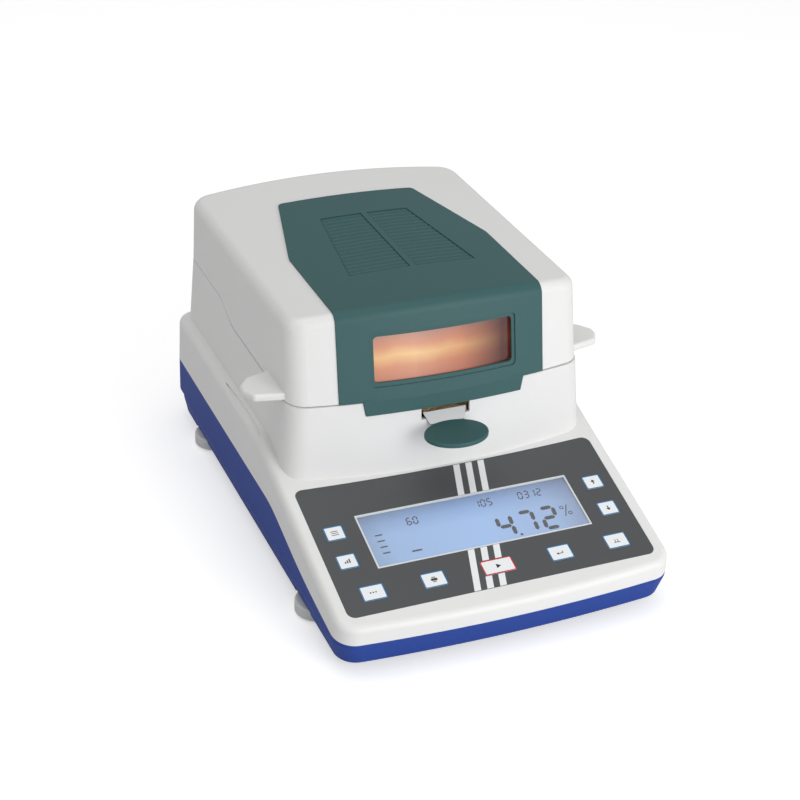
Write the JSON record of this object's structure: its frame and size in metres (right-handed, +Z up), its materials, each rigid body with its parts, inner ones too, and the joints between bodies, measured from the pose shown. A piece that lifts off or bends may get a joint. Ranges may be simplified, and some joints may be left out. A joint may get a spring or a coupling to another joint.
{
  "type": "moisture analyzer",
  "caption": "Bench moisture analyser: hinged heating lid with viewing window over a weighing pan, sloping keypad with display, and adjustable feet.",
  "frame": {"origin": "middle of the footprint at the level of the bench", "axes": "+Z up, front of the instrument towards -Y, +X to the right seen from the front"},
  "size_m": [0.26, 0.362, 0.185],
  "materials": {
    "tray_blue": "fine matt moulded plastic",
    "housing_white": "fine matt moulded plastic",
    "film_grey": "printed polyester film",
    "board_green": "circuit board",
    "frame_dark": "moulded frame",
    "clear_plastic": "clear",
    "lcd_blue": "backlit liquid crystal",
    "key_white": "printed key",
    "cell_aluminium": "machined",
    "black_plastic": "moulded",
    "plain_steel": "sheet and turned steel",
    "ceramic_board": "fired, matt",
    "black_rubber": "moulded",
    "nut_brass": "turned",
    "insert_green": "fine matt moulded plastic",
    "clear_glass": "polished",
    "bright_aluminium": "polished sheet",
    "tungsten": "coiled wire, glowing in use",
    "pan_aluminium": "pressed foil",
    "foot_grey": "moulded",
    "sole_rubber": "moulded"
  },
  "bodies": {
    "case": {"bottom_tray": "tray_blue", "upper_housing": "housing_white", "keypad_foil": "film_grey", "keypad_board": "board_green", "display_frame": "frame_dark", "display_window": "clear_plastic", "lcd_module": "lcd_blue", "main_board": "board_green", "power_supply": "board_green", "load_cell": "cell_aluminium", "load_cell_base": "cell_aluminium", "power_inlet": "black_plastic", "switch_body": "black_plastic", "serial_port": "plain_steel", "chamber_liner": "plain_steel", "insulation_board": "ceramic_board", "hinge_brackets": "plain_steel", "hinge_pins": "plain_steel", "bubble_level": "clear_plastic", "lid_buffers": "black_rubber", "housing_screws": "plain_steel", "foot_nuts": "nut_brass"},
    "lid": {"lid_shell": "housing_white", "lid_insert": "insert_green", "window_glass": "clear_glass", "lid_inner_frame": "plain_steel", "protective_glass": "clear_glass", "glass_clips": "plain_steel", "lid_posts": "housing_white", "lid_screws": "plain_steel", "reflector": "bright_aluminium", "halogen_lamp": "clear_glass", "lamp_filament": "tungsten", "lamp_holders": "ceramic_board", "temperature_sensor": "plain_steel", "lid_hinge_arms": "plain_steel"},
    "weigher": {"pan_support": "plain_steel"},
    "pan": {"sample_pan": "pan_aluminium"},
    "lifter": {"lifter_ring": "plain_steel", "lifter_paddle": "insert_green"},
    "rocker": {"rocker": "black_plastic"},
    "fuse_drawer": {"fuse_drawer": "black_plastic"},
    "key_left_upper": {"key_left_upper": "key_white"},
    "key_left_lower": {"key_left_lower": "key_white"},
    "key_right_upper": {"key_right_upper": "key_white"},
    "key_right_lower": {"key_right_lower": "key_white"},
    "key_menu": {"key_menu": "key_white"},
    "key_print": {"key_print": "key_white"},
    "key_enter": {"key_enter": "key_white"},
    "key_tare": {"key_tare": "key_white"},
    "key_start": {"key_start": "key_white"},
    "foot_front_left_sole": {"foot_sole_front_left": "sole_rubber"},
    "foot_front_left_wheel": {"foot_wheel_front_left": "foot_grey"},
    "foot_front_right_sole": {"foot_sole_front_right": "sole_rubber"},
    "foot_front_right_wheel": {"foot_wheel_front_right": "foot_grey"},
    "foot_rear_left_sole": {"foot_sole_rear_left": "sole_rubber"},
    "foot_rear_left_wheel": {"foot_wheel_rear_left": "foot_grey"},
    "foot_rear_right_sole": {"foot_sole_rear_right": "sole_rubber"},
    "foot_rear_right_wheel": {"foot_wheel_rear_right": "foot_grey"}
  },
  "joints": [
    {"name": "lid_hinge", "type": "hinge", "parent": "case", "child": "lid", "pos_m": [0, 0.1768, 0.1315], "axis": [-1, 0, 0], "range_deg": [0, 78]},
    {"name": "weigh_travel", "type": "slide", "parent": "case", "child": "weigher", "axis": [0, 0, -1], "range_m": [0, 0.0005], "stiffness_N_per_m": 10000},
    {"name": "pan_lift", "type": "slide", "parent": "weigher", "child": "pan", "axis": [0, 0, 1], "range_m": [0, 0.0025]},
    {"name": "lifter_rise", "type": "slide", "parent": "case", "child": "lifter", "axis": [0, 0, 1], "range_m": [0, 0.0025]},
    {"name": "mains_rocker", "type": "hinge", "parent": "case", "child": "rocker", "pos_m": [-0.002, 0.17, 0.0665], "axis": [-1, 0, 0], "range_deg": [0, 16]},
    {"name": "fuse_drawer_slide", "type": "slide", "parent": "case", "child": "fuse_drawer", "axis": [0, 1, 0], "range_m": [0, 0.012]},
    {"name": "key_left_upper_press", "type": "slide", "parent": "case", "child": "key_left_upper", "axis": [0, 0.274, -0.9617], "range_m": [0, 0.0004], "stiffness_N_per_m": 4000},
    {"name": "key_left_lower_press", "type": "slide", "parent": "case", "child": "key_left_lower", "axis": [0, 0.274, -0.9617], "range_m": [0, 0.0004], "stiffness_N_per_m": 4000},
    {"name": "key_right_upper_press", "type": "slide", "parent": "case", "child": "key_right_upper", "axis": [0, 0.274, -0.9617], "range_m": [0, 0.0004], "stiffness_N_per_m": 4000},
    {"name": "key_right_lower_press", "type": "slide", "parent": "case", "child": "key_right_lower", "axis": [0, 0.274, -0.9617], "range_m": [0, 0.0004], "stiffness_N_per_m": 4000},
    {"name": "key_menu_press", "type": "slide", "parent": "case", "child": "key_menu", "axis": [0, 0.274, -0.9617], "range_m": [0, 0.0004], "stiffness_N_per_m": 4000},
    {"name": "key_print_press", "type": "slide", "parent": "case", "child": "key_print", "axis": [0, 0.274, -0.9617], "range_m": [0, 0.0004], "stiffness_N_per_m": 4000},
    {"name": "key_enter_press", "type": "slide", "parent": "case", "child": "key_enter", "axis": [0, 0.274, -0.9617], "range_m": [0, 0.0004], "stiffness_N_per_m": 4000},
    {"name": "key_tare_press", "type": "slide", "parent": "case", "child": "key_tare", "axis": [0, 0.274, -0.9617], "range_m": [0, 0.0004], "stiffness_N_per_m": 4000},
    {"name": "key_start_press", "type": "slide", "parent": "case", "child": "key_start", "axis": [0, 0.274, -0.9617], "range_m": [0, 0.0004], "stiffness_N_per_m": 4000},
    {"name": "foot_front_left_height", "type": "slide", "parent": "case", "child": "foot_front_left_sole", "axis": [0, 0, 1], "range_m": [-0.003, 0.001]},
    {"name": "foot_front_left_turn", "type": "hinge", "parent": "foot_front_left_sole", "child": "foot_front_left_wheel", "pos_m": [-0.105, -0.104, 0.006], "axis": [0, 0, 1], "range_deg": [-1080, 360]},
    {"name": "foot_front_right_height", "type": "slide", "parent": "case", "child": "foot_front_right_sole", "axis": [0, 0, 1], "range_m": [-0.003, 0.001]},
    {"name": "foot_front_right_turn", "type": "hinge", "parent": "foot_front_right_sole", "child": "foot_front_right_wheel", "pos_m": [0.105, -0.104, 0.006], "axis": [0, 0, 1], "range_deg": [-1080, 360]},
    {"name": "foot_rear_left_height", "type": "slide", "parent": "case", "child": "foot_rear_left_sole", "axis": [0, 0, 1], "range_m": [-0.003, 0.001]},
    {"name": "foot_rear_left_turn", "type": "hinge", "parent": "foot_rear_left_sole", "child": "foot_rear_left_wheel", "pos_m": [-0.105, 0.118, 0.006], "axis": [0, 0, 1], "range_deg": [-1080, 360]},
    {"name": "foot_rear_right_height", "type": "slide", "parent": "case", "child": "foot_rear_right_sole", "axis": [0, 0, 1], "range_m": [-0.003, 0.001]},
    {"name": "foot_rear_right_turn", "type": "hinge", "parent": "foot_rear_right_sole", "child": "foot_rear_right_wheel", "pos_m": [0.105, 0.118, 0.006], "axis": [0, 0, 1], "range_deg": [-1080, 360]}
  ],
  "couplings": [
    {"joint": "pan_lift", "follows": "lifter_rise", "ratio": 1},
    {"joint": "foot_front_left_turn", "follows": "foot_front_left_height", "rad_per_m": 6283.2},
    {"joint": "foot_front_right_turn", "follows": "foot_front_right_height", "rad_per_m": 6283.2},
    {"joint": "foot_rear_left_turn", "follows": "foot_rear_left_height", "rad_per_m": 6283.2},
    {"joint": "foot_rear_right_turn", "follows": "foot_rear_right_height", "rad_per_m": 6283.2}
  ]
}
